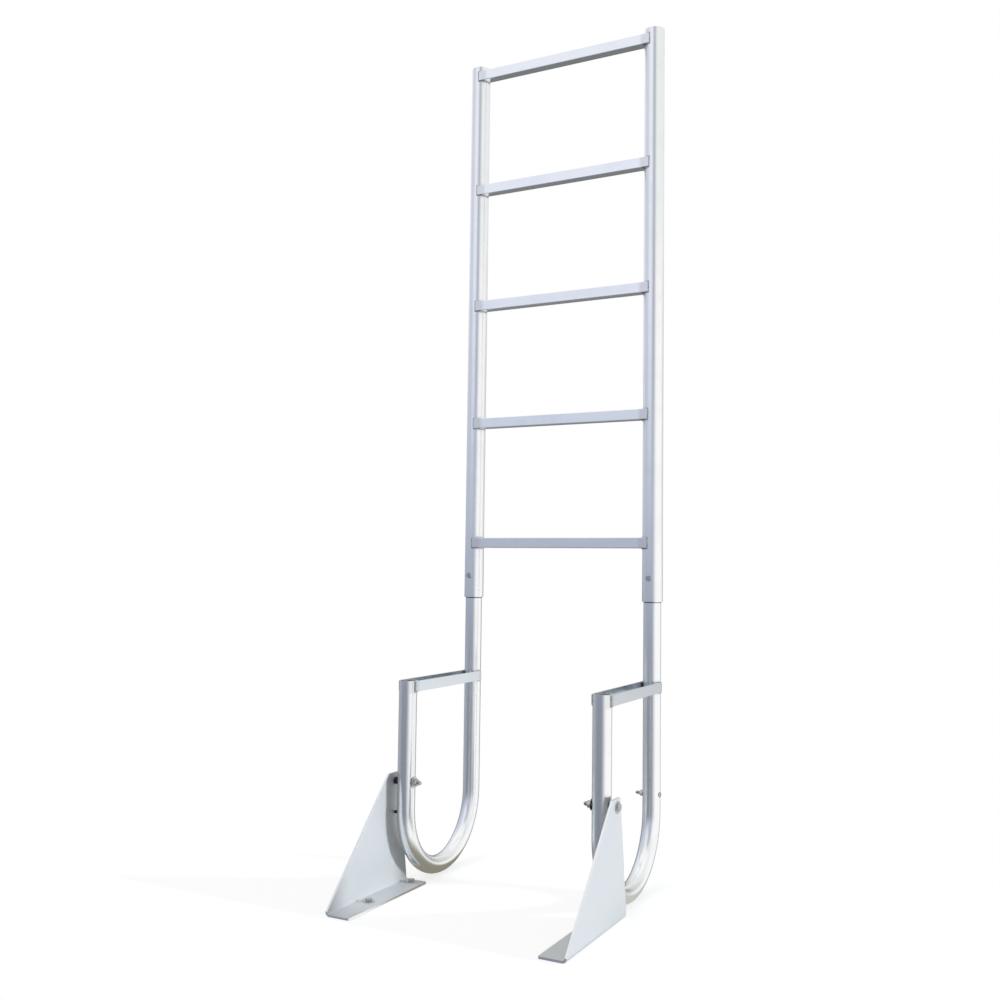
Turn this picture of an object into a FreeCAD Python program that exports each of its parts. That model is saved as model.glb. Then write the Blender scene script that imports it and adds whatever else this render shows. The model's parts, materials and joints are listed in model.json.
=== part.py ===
"""Aluminium swing ladder for a dock, modelled stowed upright as in the photograph.

Millimetres. X runs along the rungs, Y from the pivots towards the long legs, Z is up. The origin
lies on the sole of the left foot, on the middle line of its flange and straight below the pivot.
"""

import FreeCAD, Part
import math
import os

from FreeCAD import Vector

# Rails and rungs
rung_clear = 431.8
rung_pitch = 304.8
rung_count = 5
rung_height = 25.4
rung_depth = 25.4
rung_wall = 2.0
rung_corner = 1.6
rung_end_inset = 5.0
rail_od = 48.3
rail_wall = 3.05
rail_above_rung = 27.0
rail_below_rung = 138.0

# Bent handrail tubes, which slip into the rails
slip_clearance = 0.45
tube_wall = 3.0
leg_spacing = 304.8
sleeve_end_height = 654.0
slip_in = 120.0
deck_clearance = 1.0

# Brackets, bent from plate
plate = 4.8
bend_radius = 5.0
flange_width = 60.0
foot_front = 250.0
foot_back = 55.0
pivot_height = 239.0
plate_above_pivot = 18.0
top_front = 26.0
top_back = 17.0
top_corner = 6.0
flange_corner = 4.0
screw_hole = 9.5
screw_front = 135.0
screw_back = 36.0

# Pivot hardware
pivot_bolt = 9.5
pivot_hex = 14.3
pivot_head = 5.0
pivot_nut = 8.3
pivot_tail = 8.4
pivot_washer = 25.4
washer = 1.8
spacer_od = 16.0
plate_gap = 9.5
running_gap = 0.3
pivot_clearance = 0.08
hole_clearance = 0.25
thread_clearance = 0.05

# Nylon pins that keep the handrails off the plates
rub_pin = 6.4
rub_pin_drop = 71.0
rub_pin_rounding = 0.8
rub_pin_fit = 0.05

# Flat bars that brace each handrail
brace_height = 24.0
brace = 3.2
brace_overhang = 3.0
brace_corner = 3.0
swing_gap = 5.2

# Bolts of the slip joints, and the bolt through the right long leg
joint_bolt = 7.9
joint_hex = 12.7
joint_head = 5.3
joint_nut = 6.7
joint_tail = 3.0
joint_above_end = 55.0
leg_bolt_height = 209.0
leg_tail = 11.0
button_od = 14.0
button_height = 2.4
socket_hex = 5.0
socket_depth = 1.5

# Places that follow from the sizes
rail_r = rail_od / 2
tube_r = rail_r - rail_wall - slip_clearance
rail_pitch = rung_clear + rail_od
bend_r = leg_spacing / 2
bend_height = deck_clearance + tube_r + bend_r
plate_inner = rail_pitch / 2 + tube_r + plate_gap
plate_outer = plate_inner + plate
mid_x = plate_outer - flange_width / 2
leg_top = 2 * pivot_height - plate - swing_gap
lowest_rung = sleeve_end_height + rail_below_rung
top_rung = lowest_rung + (rung_count - 1) * rung_pitch
rail_top = top_rung + rail_above_rung
joint_height = sleeve_end_height + joint_above_end
pivot_bolt_length = 2 * washer + plate + plate_gap + 2 * tube_r + running_gap + pivot_nut + pivot_tail
joint_bore = joint_bolt + 2 * hole_clearance
same_point = 1e-6
X, Y, Z = Vector(1, 0, 0), Vector(0, 1, 0), Vector(0, 0, 1)


def rounded_outline(points, radii):
    """Closed wire through the points, with each corner rounded by its radius."""
    edges = []
    starts, ends = [], []
    count = len(points)
    for i, corner in enumerate(points):
        back = (points[i - 1] - corner).normalize()
        ahead = (points[(i + 1) % count] - corner).normalize()
        half = back.getAngle(ahead) / 2
        run = radii[i] / math.tan(half)
        centre = corner + (back + ahead).normalize() * (radii[i] / math.sin(half))
        starts.append(corner + back * run)
        ends.append(corner + ahead * run)
        if radii[i] > 0:
            middle = centre + (corner - centre).normalize() * radii[i]
            edges.append(Part.Arc(starts[i], middle, ends[i]).toShape())
    for i in range(count):
        start, end = ends[i], starts[(i + 1) % count]
        if not start.isEqual(end, same_point):
            edges.append(Part.LineSegment(start, end).toShape())
    return Part.Wire(Part.__sortEdges__(edges))


def hexagon(across_flats, height, base, axis):
    """Hexagonal prism from its base centre along the axis."""
    corner_r = across_flats / math.sqrt(3)
    turn = FreeCAD.Rotation(Z, axis)
    points = []
    for i in range(6):
        a = math.radians(60 * i + 30)
        points.append(base + turn.multVec(Vector(corner_r * math.cos(a), corner_r * math.sin(a), 0)))
    return Part.Face(Part.makePolygon(points + points[:1])).extrude(axis * height)


def hex_head(across_flats, height, base, axis):
    """Hexagonal head whose outer end is chamfered all round, as a turned blank leaves it."""
    corner_r = across_flats / math.sqrt(3)
    chamfer = corner_r - across_flats / 2
    blank = Part.makeCylinder(corner_r, height - chamfer / 2, base, axis)
    shoulder = base + axis * (height - chamfer / 2)
    crown = Part.makeCone(corner_r, across_flats / 2, chamfer / 2, shoulder, axis)
    return hexagon(across_flats, height, base, axis).common(blank.fuse(crown))


def ring(outer, inner, height, base, axis):
    """Washer, spacer or straight tube between two diameters."""
    return Part.makeCylinder(outer / 2, height, base, axis).cut(
        Part.makeCylinder(inner / 2, height, base, axis))


def cross_hole(shape, diameter, centre, axis, reach):
    """Shape with a hole right through it, centred on the point."""
    return shape.cut(Part.makeCylinder(diameter / 2, 2 * reach, centre - axis * reach, axis))


def hex_bolt(diameter, length, across_flats, head, seat, axis):
    """Bolt whose head stands on the seat, with its shank running back along the axis."""
    tip = diameter / 8
    shank = Part.makeCylinder(diameter / 2, length - tip, seat, axis * -1)
    tip_base = seat - axis * (length - tip)
    end = Part.makeCone(diameter / 2, diameter / 2 - tip, tip, tip_base, axis * -1)
    return hex_head(across_flats, head, seat, axis).fuse([shank, end]).removeSplitter()


def hex_nut(diameter, across_flats, height, base, axis):
    """Nut with its clear bore, seated on the base point."""
    bore = diameter / 2 + thread_clearance
    return hex_head(across_flats, height, base, axis).cut(
        Part.makeCylinder(bore, height, base, axis))


def bracket():
    """Right bracket: a flange and an upright leaf bent from one plate, narrowing to the pivot."""
    bend_top = plate + bend_radius
    inboard = plate_outer - flange_width
    # The bend's section, swept along the foot
    section = rounded_outline(
        [Vector(inboard, -foot_front, 0),
         Vector(plate_outer, -foot_front, 0),
         Vector(plate_outer, -foot_front, bend_top),
         Vector(plate_inner, -foot_front, bend_top),
         Vector(plate_inner, -foot_front, plate),
         Vector(inboard, -foot_front, plate)],
        [0, plate + bend_radius, 0, 0, bend_radius, 0])
    foot = Part.Face(section).extrude(Y * (foot_front + foot_back))
    # The flange's two upright corners, on its inboard edge
    corners = [edge for edge in foot.Edges
               if edge.BoundBox.XMax < inboard + same_point and edge.BoundBox.ZLength > plate / 2]
    foot = foot.makeFillet(flange_corner, corners)
    # The leaf, a lopsided trapezium with rounded upper corners
    top = pivot_height + plate_above_pivot
    leaf_outline = rounded_outline(
        [Vector(plate_inner, -foot_front, bend_top),
         Vector(plate_inner, foot_back, bend_top),
         Vector(plate_inner, top_back, top),
         Vector(plate_inner, -top_front, top)],
        [0, 0, top_corner, top_corner])
    leaf = Part.Face(leaf_outline).extrude(X * plate)
    body = foot.fuse(leaf).removeSplitter()
    pivot_bore = pivot_bolt + 2 * hole_clearance
    body = cross_hole(body, pivot_bore, Vector(plate_inner, 0, pivot_height), X, 2 * plate)
    for y in (-screw_front, screw_back):
        body = cross_hole(body, screw_hole, Vector(plate_outer - flange_width / 2, y, 0), Z, 2 * plate)
    return body


def rail():
    """Right rail: the straight tube that the rungs are welded to."""
    foot = Vector(rail_pitch / 2, leg_spacing, sleeve_end_height)
    tube = ring(rail_od, rail_od - 2 * rail_wall, rail_top - sleeve_end_height, foot, Z)
    return cross_hole(tube, joint_bore, Vector(rail_pitch / 2, leg_spacing, joint_height), Y, rail_od)


def rung(height):
    """Square tube across the front of the rails, its back face on their middle plane and both its
    ends coped round them."""
    half = rail_pitch / 2
    reach = half - rung_end_inset

    def bar(shrink):
        y0, y1 = leg_spacing - rung_depth + shrink, leg_spacing - shrink
        z0, z1 = height - rung_height / 2 + shrink, height + rung_height / 2 - shrink
        corner = max(rung_corner - shrink, 0)
        outline = rounded_outline(
            [Vector(-reach, y0, z0), Vector(-reach, y1, z0), Vector(-reach, y1, z1),
             Vector(-reach, y0, z1)],
            [corner] * 4)
        return Part.Face(outline).extrude(X * (2 * reach))

    tube = bar(0).cut(bar(rung_wall))
    for side in (-half, half):
        tube = tube.cut(Part.makeCylinder(rail_r, 2 * rung_height,
                                          Vector(side, leg_spacing, height - rung_height), Z))
    return tube


def handrail():
    """Right handrail: one tube bent into a J, swept down the long leg, round, and up the short one."""
    x = rail_pitch / 2
    long_top = sleeve_end_height + slip_in
    long_end = Vector(x, leg_spacing, long_top)
    long_tangent = Vector(x, leg_spacing, bend_height)
    lowest = Vector(x, bend_r, bend_height - bend_r)
    short_tangent = Vector(x, 0, bend_height)
    short_end = Vector(x, 0, leg_top)
    path = Part.Wire([
        Part.LineSegment(long_end, long_tangent).toShape(),
        Part.Arc(long_tangent, lowest, short_tangent).toShape(),
        Part.LineSegment(short_tangent, short_end).toShape()])

    def swept(radius):
        circle = Part.Circle(long_end, Z, radius).toShape()
        return path.makePipeShell([Part.Wire(circle)], True, False)

    tube = swept(tube_r).cut(swept(tube_r - tube_wall))
    tube = tube.cut(Part.makeCylinder(rub_pin / 2 + rub_pin_fit, rail_od,
                                      Vector(x, 0, pivot_height - rub_pin_drop), X))
    tube = cross_hole(tube, pivot_bolt + 2 * pivot_clearance, Vector(x, 0, pivot_height), X, rail_od)
    return cross_hole(tube, joint_bore, Vector(x, leg_spacing, joint_height), Y, rail_od)


def brace_bar(face_x):
    """Flat bar on one side of a handrail, from the short leg to the long one, near the leg's top."""
    y0, y1 = -brace_overhang, leg_spacing + brace_overhang
    z0, z1 = leg_top - brace_height, leg_top
    outline = rounded_outline(
        [Vector(face_x, y0, z0), Vector(face_x, y1, z0), Vector(face_x, y1, z1), Vector(face_x, y0, z1)],
        [brace_corner] * 4)
    return Part.Face(outline).extrude(X * brace)


def pivot_pieces():
    """Bolt, washers, spacer and nut of the right pivot, from the outboard side inwards."""
    bore = pivot_bolt + 2 * thread_clearance
    tube_face = rail_pitch / 2 - tube_r - running_gap

    def axis_at(x):
        return Vector(x, 0, pivot_height)

    return {
        "pivot_bolt": hex_bolt(pivot_bolt, pivot_bolt_length, pivot_hex, pivot_head,
                               axis_at(plate_outer + washer), X),
        "pivot_washer": ring(pivot_washer, bore, washer, axis_at(plate_outer), X),
        "pivot_spacer": ring(spacer_od, bore, plate_gap - running_gap,
                             axis_at(plate_inner - plate_gap + running_gap), X),
        "nut_washer": ring(pivot_washer, bore, washer, axis_at(tube_face - washer), X),
        "pivot_nut": hex_nut(pivot_bolt, pivot_hex, pivot_nut, axis_at(tube_face - washer), X * -1),
    }


def rub_pin_piece():
    """Pin through the right handrail's outboard wall, its rounded end just clear of the plate."""
    start = Vector(rail_pitch / 2 + tube_r - tube_wall, 0, pivot_height - rub_pin_drop)
    length = plate_inner - running_gap - start.x
    pin = Part.makeCylinder(rub_pin / 2, length, start, X)
    rims = [edge for edge in pin.Edges if edge.BoundBox.XLength < same_point]
    return pin.makeFillet(rub_pin_rounding, rims)


def joint_pieces():
    """Bolt and nut that pin the right rail to its handrail, head on the front."""
    centre = Vector(rail_pitch / 2, leg_spacing, joint_height)
    length = rail_od + joint_nut + joint_tail
    return {
        "joint_bolt": hex_bolt(joint_bolt, length, joint_hex, joint_head, centre - Y * rail_r, Y * -1),
        "joint_nut": hex_nut(joint_bolt, joint_hex, joint_nut, centre + Y * rail_r, Y),
    }


def leg_bolt_pieces():
    """Button-head bolt across the right long leg, with its nut inboard."""
    seat = Vector(rail_pitch / 2 + tube_r, leg_spacing, leg_bolt_height)
    # The dome's half section, turned about the bolt's axis
    rim = seat + Z * (button_od / 2)
    crown = seat + X * button_height
    dome_r = (button_od ** 2 / 4 + button_height ** 2) / (2 * button_height)
    quarter = math.asin(button_od / 2 / dome_r) / 2
    middle = crown + Z * (dome_r * math.sin(quarter)) - X * (dome_r * (1 - math.cos(quarter)))
    section = Part.Wire([
        Part.LineSegment(seat, rim).toShape(),
        Part.Arc(rim, middle, crown).toShape(),
        Part.LineSegment(crown, seat).toShape()])
    head = Part.Face(section).revolve(seat, X, 360)
    socket = hexagon(socket_hex, socket_depth, seat + X * (button_height - socket_depth), X)
    length = 2 * tube_r + joint_nut + leg_tail
    shank = Part.makeCylinder(joint_bolt / 2, length, seat, X * -1)
    return {
        "leg_bolt": head.fuse(shank).cut(socket).removeSplitter(),
        "leg_nut": hex_nut(joint_bolt, joint_hex, joint_nut, seat - X * (2 * tube_r), X * -1),
    }


def build():
    """All pieces by name, in the part's own frame."""
    rail_x = rail_pitch / 2
    right = {"bracket": bracket(), "rail": rail(), "handrail": handrail(), "rub_pin": rub_pin_piece(),
             "outer_brace": brace_bar(rail_x + tube_r), "inner_brace": brace_bar(rail_x - tube_r - brace)}
    right.update(pivot_pieces())
    right.update(joint_pieces())
    parts = {}
    for name, shape in right.items():
        parts["left_" + name] = shape.mirror(Vector(0, 0, 0), X)
        parts["right_" + name] = shape
    parts["right_handrail"] = cross_hole(
        parts["right_handrail"], joint_bore, Vector(rail_x, leg_spacing, leg_bolt_height), X, rail_od)
    for name, shape in leg_bolt_pieces().items():
        parts["right_" + name] = shape
    for i in range(rung_count):
        parts["rung_%d" % (i + 1)] = rung(top_rung - i * rung_pitch)
    for shape in parts.values():
        shape.translate(X * mid_x)
    return parts


os.makedirs("parts", exist_ok=True)
for name, shape in build().items():
    if not shape.isValid() or len(shape.Solids) != 1:
        raise ValueError("%s is not one valid solid" % name)
    shape.Solids[0].exportStep("parts/%s.step" % name)
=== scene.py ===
"""Welds, threads, deck screws, broken edges, metal finishes and a studio for a swing dock ladder.

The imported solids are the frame, and every piece is made where they say. Lengths are metres. X runs
along the rungs, Y from the pivots towards the long legs, and Z is up.
"""

import json
import math
import random

import bmesh
import bpy
from bpy.props import FloatProperty, FloatVectorProperty, PointerProperty
from mathutils import Matrix, Vector

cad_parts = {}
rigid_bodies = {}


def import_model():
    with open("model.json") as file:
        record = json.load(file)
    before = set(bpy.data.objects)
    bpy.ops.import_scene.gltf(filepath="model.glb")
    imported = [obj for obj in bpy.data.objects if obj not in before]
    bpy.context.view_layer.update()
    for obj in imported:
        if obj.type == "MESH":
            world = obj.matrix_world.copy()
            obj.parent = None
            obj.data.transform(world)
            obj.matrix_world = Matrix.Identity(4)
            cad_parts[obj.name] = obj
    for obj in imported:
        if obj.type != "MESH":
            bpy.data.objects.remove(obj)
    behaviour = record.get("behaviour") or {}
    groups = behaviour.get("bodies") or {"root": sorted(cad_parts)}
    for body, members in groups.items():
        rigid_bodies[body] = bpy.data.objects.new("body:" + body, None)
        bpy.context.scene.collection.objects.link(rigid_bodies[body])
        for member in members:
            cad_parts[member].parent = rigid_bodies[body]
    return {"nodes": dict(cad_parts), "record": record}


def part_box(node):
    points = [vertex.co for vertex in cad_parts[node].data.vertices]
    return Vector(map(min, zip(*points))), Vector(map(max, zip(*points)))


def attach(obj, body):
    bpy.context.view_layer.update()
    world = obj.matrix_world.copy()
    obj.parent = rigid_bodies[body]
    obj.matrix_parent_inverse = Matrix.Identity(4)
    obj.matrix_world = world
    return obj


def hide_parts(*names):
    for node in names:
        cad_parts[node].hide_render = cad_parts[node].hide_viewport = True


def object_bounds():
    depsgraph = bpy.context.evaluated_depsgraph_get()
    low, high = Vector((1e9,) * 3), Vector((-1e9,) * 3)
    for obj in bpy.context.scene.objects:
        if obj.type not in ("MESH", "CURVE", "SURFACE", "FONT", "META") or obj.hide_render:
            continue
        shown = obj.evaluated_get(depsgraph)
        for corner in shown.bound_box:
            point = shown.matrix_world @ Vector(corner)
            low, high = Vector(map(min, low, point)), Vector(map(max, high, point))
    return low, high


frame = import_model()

bl_info = {
    "name": "Swing Dock Ladder",
    "version": (1, 0, 0),
    "blender": (4, 5, 0),
    "location": "3D View > Sidebar > Dock Ladder",
    "description": "Dresses a swing dock ladder's frame with welds, hardware and metal finishes",
    "category": "Add Mesh",
}

NODES = frame["nodes"]
# Blender's starting cube, lamp and camera aren't part of the frame
for spare in list(bpy.data.objects):
    if spare.name not in NODES and not spare.name.startswith("body:"):
        bpy.data.objects.remove(spare)
cad_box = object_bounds()

MM = 0.001
# Points nearer than this are one
MERGED = 0.001 * MM
FULL_TURN = 2 * math.pi
X, Y, Z = Vector((1, 0, 0)), Vector((0, 1, 0)), Vector((0, 0, 1))
SIDES = ("left", "right")
RUNGS = sorted(n for n in NODES if n.startswith("rung_"))


def centre(node):
    """Middle of a node's box."""
    low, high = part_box(node)
    return (low + high) / 2


def size(node):
    """Lengths of a node's box."""
    low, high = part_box(node)
    return high - low


# Places and sizes that the frame gives
RAIL_X = {side: centre(side + "_rail").x for side in SIDES}
MIDDLE_X = sum(RAIL_X.values()) / 2
RAIL_OFFSET = RAIL_X["right"] - MIDDLE_X
RAIL_RADIUS = size("left_rail").x / 2
RAIL_LOW, RAIL_HIGH = (corner.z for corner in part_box("left_rail"))
TUBE_RADIUS = RAIL_X["left"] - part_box("left_outer_brace")[1].x
LONG_LEG_Y = centre("left_rail").y
BEND_RADIUS = LONG_LEG_Y / 2
BEND_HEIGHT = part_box("left_handrail")[0].z + TUBE_RADIUS + BEND_RADIUS
RUNG_HALF = size(RUNGS[0]).z / 2
RUNG_REACH = RAIL_OFFSET - size(RUNGS[0]).x / 2
LOW_RUNG = min(centre(n).z for n in RUNGS)
RUNG_PITCH = (max(centre(n).z for n in RUNGS) - LOW_RUNG) / (len(RUNGS) - 1)
BRACE_LOW, BRACE_HIGH = (corner.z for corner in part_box("left_inner_brace"))
BRACE_END_Y = -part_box("left_inner_brace")[0].y
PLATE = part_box("left_pivot_spacer")[0].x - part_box("left_bracket")[0].x
MOUNTS = {mount["name"]: mount for mount in frame["record"]["mounts"]}


def length_property(name, description, millimetres):
    return FloatProperty(name=name, description=description, default=millimetres * MM,
                         unit="LENGTH")


def colour_property(name, description, value):
    return FloatVectorProperty(name=name, description=description, default=value, min=0.0, max=1.0,
                               subtype="COLOR")


def share_property(name, description, value):
    return FloatProperty(name=name, description=description, default=value, min=0.0, max=1.0,
                         subtype="FACTOR")


def strength_property(name, description, value):
    return FloatProperty(name=name, description=description, default=value, min=0.0)


def angle_property(name, description, degrees):
    return FloatProperty(name=name, description=description, default=math.radians(degrees),
                         subtype="ANGLE", unit="ROTATION")


class LadderSizes(bpy.types.PropertyGroup):
    """Sizes of the pieces that the frame leaves out."""

    rail_wall: length_property("Rail Wall", "Wall of the straight rails", 3.05)
    tube_edge: length_property("Tube Edge", "Rounding of the rails' deburred ends", 1.2)
    plate_edge: length_property("Plate Edge", "Rounding of the plates' and bars' edges", 0.5)
    weld_radius: length_property("Weld Radius", "Half the width of a weld bead", 2.3)
    weld_ripple: length_property("Weld Ripple", "Distance from one ripple to the next", 2.2)
    pivot_thread: length_property("Pivot Thread", "Diameter of the pivot bolts", 9.5)
    pivot_pitch: length_property("Pivot Pitch", "Thread pitch of the pivot bolts", 1.59)
    joint_thread: length_property("Joint Thread", "Diameter of the slip joints' bolts", 7.9)
    joint_pitch: length_property("Joint Pitch", "Thread pitch of the slip joints' bolts", 1.41)
    washer_edge: length_property("Washer Edge", "Rounding of the washers' stamped edges", 0.35)
    washer_clearance: length_property("Washer Clearance", "Gap round a bolt in its washers", 0.05)
    screw_washer: length_property("Screw Washer", "Diameter of the deck screws' washers", 26.0)


class LadderColours(bpy.types.PropertyGroup):
    """Colours and gloss of the finishes."""

    tube: colour_property("Tube", "Mill aluminium of the tubes", (0.95, 0.955, 0.965))
    bar: colour_property("Bar", "Mill aluminium of the flat bars", (0.74, 0.79, 0.84))
    plate: colour_property("Plate", "Satin rolled aluminium of the brackets", (0.77, 0.795, 0.815))
    oxide: colour_property("Oxide", "Dulled aluminium, where it has bloomed", (0.76, 0.78, 0.79))
    weld: colour_property("Weld", "Beads and the frosted metal beside them", (0.58, 0.59, 0.60))
    stainless: colour_property("Stainless", "Bolts, nuts and washers", (0.52, 0.52, 0.51))
    nylon: colour_property("Nylon", "Pivot spacers and rub pins", (0.014, 0.014, 0.017))
    tube_roughness: share_property("Tube Roughness", "Roughness of clean tube", 0.22)
    plate_roughness: share_property("Plate Roughness", "Roughness of clean plate", 0.38)
    bolt_roughness: share_property("Bolt Roughness", "Roughness of clean stainless", 0.15)
    plate_metal: share_property("Plate Metal", "How much of the satin plate shines as metal", 0.2)


class LadderStudio(bpy.types.PropertyGroup):
    """Camera, floor and light."""

    camera_place: FloatVectorProperty(
        name="Camera Place", description="Where the camera stands", subtype="TRANSLATION",
        unit="LENGTH", default=(1.3509, -2.1220, 0.7296))
    camera_azimuth: angle_property("Camera Azimuth", "Turn of the view left of the Y axis", 27.70)
    camera_pitch: angle_property("Camera Pitch", "Upward tilt of the view", 3.58)
    camera_roll: angle_property("Camera Roll", "Turn of the camera about its view", 0.76)
    camera_lens: FloatProperty(
        name="Camera Lens", description="Focal length in millimetres", default=38.89)
    camera_sensor: FloatProperty(
        name="Camera Sensor", description="Width of the sensor in millimetres", default=36.0)
    floor: colour_property("Floor", "Colour of the floor", (0.50, 0.50, 0.50))
    floor_lift: strength_property("Floor Lift", "Glow that lifts the lit floor to white", 0.70)
    sky: strength_property("Sky", "Strength of the even light from all round", 0.34)
    sun: strength_property("Sun", "Strength of the soft light from the right", 2.45)
    sun_azimuth: angle_property("Sun Azimuth", "Turn of the sun from the X axis to the Y axis", 25)
    sun_height: angle_property("Sun Height", "Height of the sun above the floor", 14)
    fill: strength_property("Fill", "Strength of the weak light from the front", 0.85)
    fill_azimuth: angle_property("Fill Azimuth", "Turn of the fill from the X axis", -105)
    fill_height: angle_property("Fill Height", "Height of the fill above the floor", 50)


def sizes():
    return bpy.context.scene.ladder_sizes


def colours():
    return bpy.context.scene.ladder_colours


def studio():
    return bpy.context.scene.ladder_studio


# Meshes

def copy_of(node):
    """A node's mesh with its loose triangles merged and its flat faces made whole."""
    bm = bmesh.new()
    bm.from_mesh(NODES[node].data)
    bmesh.ops.remove_doubles(bm, verts=bm.verts, dist=MERGED)
    bmesh.ops.dissolve_limit(bm, angle_limit=math.radians(0.2), verts=bm.verts, edges=bm.edges)
    return bm


def break_edges(bm, width, least_angle=math.radians(40)):
    """Rounds every edge that is sharper than the angle."""
    sharp = [e for e in bm.edges if len(e.link_faces) == 2 and e.calc_face_angle() > least_angle]
    bmesh.ops.bevel(bm, geom=sharp, offset=width, offset_type="OFFSET", segments=2, profile=0.5,
                    affect="EDGES", material=-1, clamp_overlap=True)


def turned(outline, rounding=0.0, steps=96):
    """Solid turned about Z from a closed outline of (radius, height) points."""
    bm = bmesh.new()
    corners = [bm.verts.new((radius, 0, height)) for radius, height in outline]
    bm.faces.new(corners)
    if rounding:
        bmesh.ops.bevel(bm, geom=corners, offset=rounding, offset_type="OFFSET", segments=3,
                        profile=0.5, affect="VERTICES", material=-1)
    bmesh.ops.delete(bm, geom=bm.faces[:], context="FACES_ONLY")
    bmesh.ops.spin(bm, geom=bm.verts[:] + bm.edges[:], cent=(0, 0, 0), axis=Z, dvec=(0, 0, 0),
                   angle=FULL_TURN, steps=steps, use_merge=True)
    bmesh.ops.remove_doubles(bm, verts=bm.verts, dist=MERGED)
    return bm


def placed(bm, axis, at):
    """The mesh with its Z axis laid along another and its origin moved to the point."""
    turn = Z.rotation_difference(axis).to_matrix().to_4x4()
    bm.transform(Matrix.Translation(at) @ turn)
    return bm


def absorb(bm, other):
    """Adds another mesh to the first one and frees it."""
    spare = bpy.data.meshes.new("spare")
    other.to_mesh(spare)
    other.free()
    bm.from_mesh(spare)
    bpy.data.meshes.remove(spare)
    return bm


def cut_off(bm, place, way):
    """Takes away what lies past the place, and closes the cut."""
    bmesh.ops.bisect_plane(bm, geom=bm.verts[:] + bm.edges[:] + bm.faces[:], plane_co=place,
                           plane_no=way, clear_outer=True)
    bmesh.ops.holes_fill(bm, edges=[e for e in bm.edges if e.is_boundary])
    return bm


def mesh_of(name, bm, finish):
    mesh = bpy.data.meshes.new(name)
    bm.to_mesh(mesh)
    bm.free()
    mesh.materials.append(finish)
    return mesh


def linked(name, data):
    """A new object in the scene."""
    made = bpy.data.objects.new(name, data)
    bpy.context.scene.collection.objects.link(made)
    return made


def new_piece(name, bm, body, finish, replaces=(), sharp_angle=math.radians(40)):
    """Makes a finished object of the mesh, which rides on a body."""
    bmesh.ops.recalc_face_normals(bm, faces=bm.faces)
    for face in bm.faces:
        face.smooth = True
    piece = linked(name, mesh_of(name, bm, finish))
    piece.data.set_sharp_from_angle(angle=sharp_angle)
    weighted = piece.modifiers.new("Weighted Normals", "WEIGHTED_NORMAL")
    weighted.keep_sharp = True
    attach(piece, body)
    if replaces:
        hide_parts(*replaces)
    return piece


def even_steps(points, step):
    """Points along a line of points, evenly spaced at about the step."""
    lengths = [0.0]
    for first, second in zip(points, points[1:]):
        lengths.append(lengths[-1] + (second - first).length)
    count = max(2, round(lengths[-1] / step))
    spaced, leg = [], 0
    for i in range(count + 1):
        along = lengths[-1] * i / count
        while leg < len(points) - 2 and lengths[leg + 1] < along:
            leg += 1
        share = (along - lengths[leg]) / (lengths[leg + 1] - lengths[leg])
        spaced.append(points[leg].lerp(points[leg + 1], share))
    return spaced


def weld_bead(bm, points, closed, dice, ripple_points=4, ripple_depth=0.2, wander=0.06):
    """Adds a rippled bead that follows the points."""
    ripple = sizes().weld_ripple
    path = even_steps(points + points[:1] if closed else points, ripple / ripple_points)
    if closed:
        path.pop()
    line = bpy.data.curves.new("bead", "CURVE")
    line.dimensions = "3D"
    line.bevel_depth = sizes().weld_radius
    line.bevel_resolution = 2
    line.use_fill_caps = not closed
    spline = line.splines.new("POLY")
    spline.points.add(len(path) - 1)
    spline.use_cyclic_u = closed
    swell = 1.0
    for i, place in enumerate(path):
        phase = i % ripple_points / ripple_points
        if phase == 0:
            swell = 1 + dice.uniform(-wander, wander)
        spline.points[i].co = (*place, 1)
        spline.points[i].radius = swell * (1 - ripple_depth * phase)
    rod = linked("bead", line)
    view = bpy.context.evaluated_depsgraph_get()
    mesh = bpy.data.meshes.new_from_object(rod.evaluated_get(view))
    bm.from_mesh(mesh)
    bmesh.ops.remove_doubles(bm, verts=bm.verts, dist=MERGED)
    bpy.data.objects.remove(rod)
    bpy.data.curves.remove(line)
    bpy.data.meshes.remove(mesh)


def thread(radius, pitch, length, steps=24, depth_share=0.6, crest_share=0.15):
    """Threaded end of a bolt from the origin up Z, with a chamfered tip."""
    depth = pitch * depth_share
    root = radius - depth
    bm = turned([(0, 0), (root, 0), (root, length - depth), (root - depth, length), (0, length)],
                steps=steps * 2)
    ridge = bmesh.new()
    flat = crest_share * pitch / 2
    section = [(root, 0), (radius, pitch / 2 - flat), (radius, pitch / 2 + flat), (root, pitch)]
    ridge.faces.new([ridge.verts.new((across, 0, along)) for across, along in section])
    turns = max(1, int((length - depth) / pitch) - 1)
    bmesh.ops.spin(ridge, geom=ridge.verts[:] + ridge.edges[:] + ridge.faces[:], cent=(0, 0, 0),
                   axis=Z, dvec=(0, 0, pitch / steps), angle=FULL_TURN * turns,
                   steps=steps * turns)
    bmesh.ops.recalc_face_normals(ridge, faces=ridge.faces)
    return absorb(bm, ridge)


def threaded_bolt(node, nut, axis, diameter, pitch):
    """Copy of a bolt whose end, from inside its nut to the tip, is a real thread."""
    low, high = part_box(node)
    start = centre(nut)
    tip = high if sum(axis) > 0 else low
    end = thread(diameter / 2, pitch, (tip - start).dot(axis))
    return absorb(cut_off(copy_of(node), start, axis), placed(end, axis, start))


def washer(outer, inner, thickness):
    """Stamped washer that lies on the origin, with rounded edges."""
    outline = [(inner, 0), (outer, 0), (outer, thickness), (inner, thickness)]
    return turned(outline, sizes().washer_edge)


# Shader nodes

def wire(tree, socket, value):
    """Links a socket to another one, or sets its own value. A colour is given as three numbers."""
    if isinstance(value, bpy.types.NodeSocket):
        tree.links.new(value, socket)
    else:
        socket.default_value = (*value, 1) if socket.type == "RGBA" else value


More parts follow.
